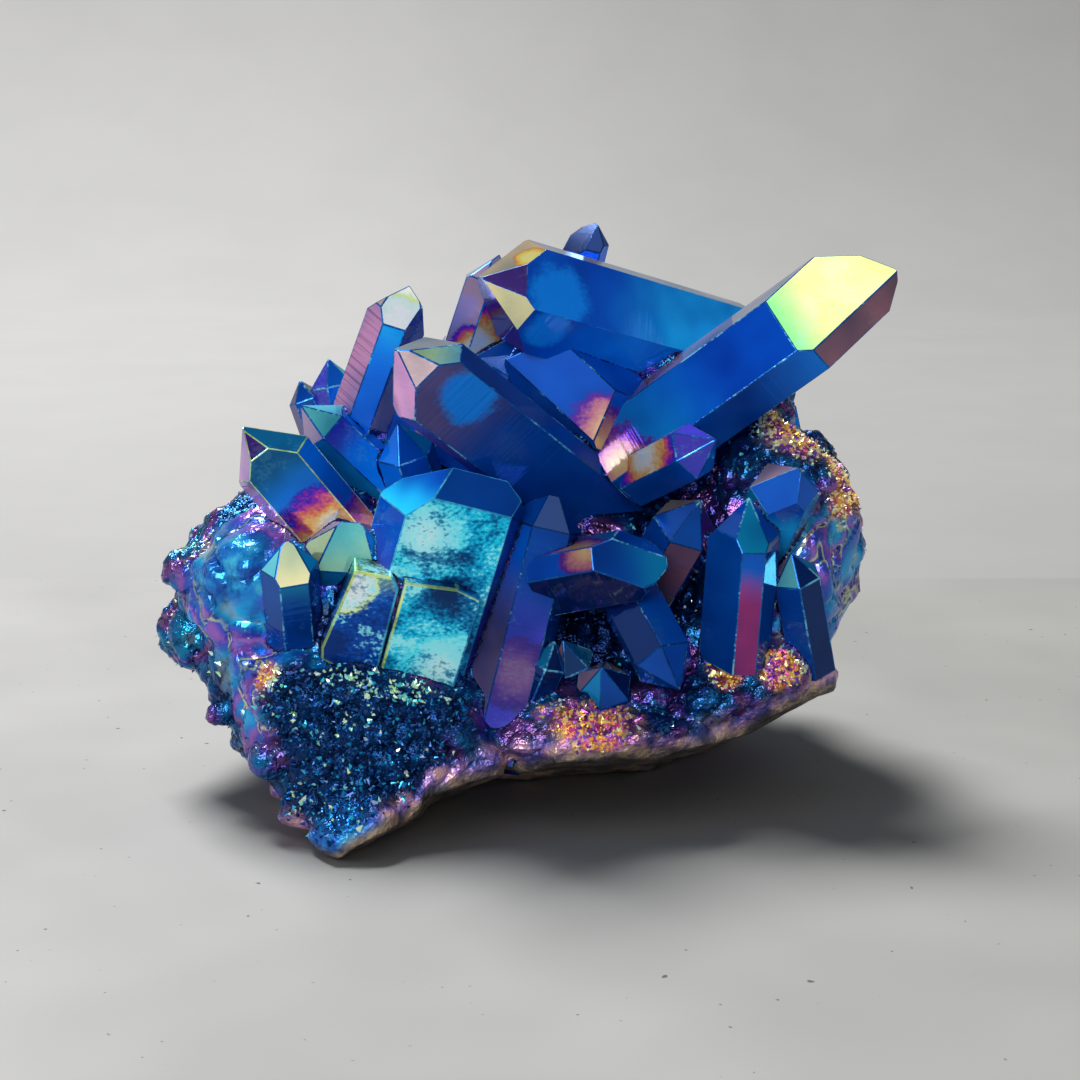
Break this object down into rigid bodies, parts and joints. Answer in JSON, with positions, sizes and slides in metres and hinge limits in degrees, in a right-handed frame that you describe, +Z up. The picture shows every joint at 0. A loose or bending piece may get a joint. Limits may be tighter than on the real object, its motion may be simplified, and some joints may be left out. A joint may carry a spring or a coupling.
{
  "type": "aura quartz cluster",
  "caption": "Cobalt-blue aura quartz cluster: six-sided crystals leaning every way out of a lumpy druse base, on a flat cut underside.",
  "frame": {"origin": "on the surface it rests on, under the middle of its bounding box", "axes": "+Z up, -Y the front, +X to the right along the cluster's width"},
  "size_m": [0.1006, 0.08, 0.0755],
  "materials": {
    "quartz": "see-through blue quartz with an iridescent metal coat on its faces"
  },
  "bodies": {
    "root": {"quartz_cluster": "quartz"}
  },
  "joints": []
}
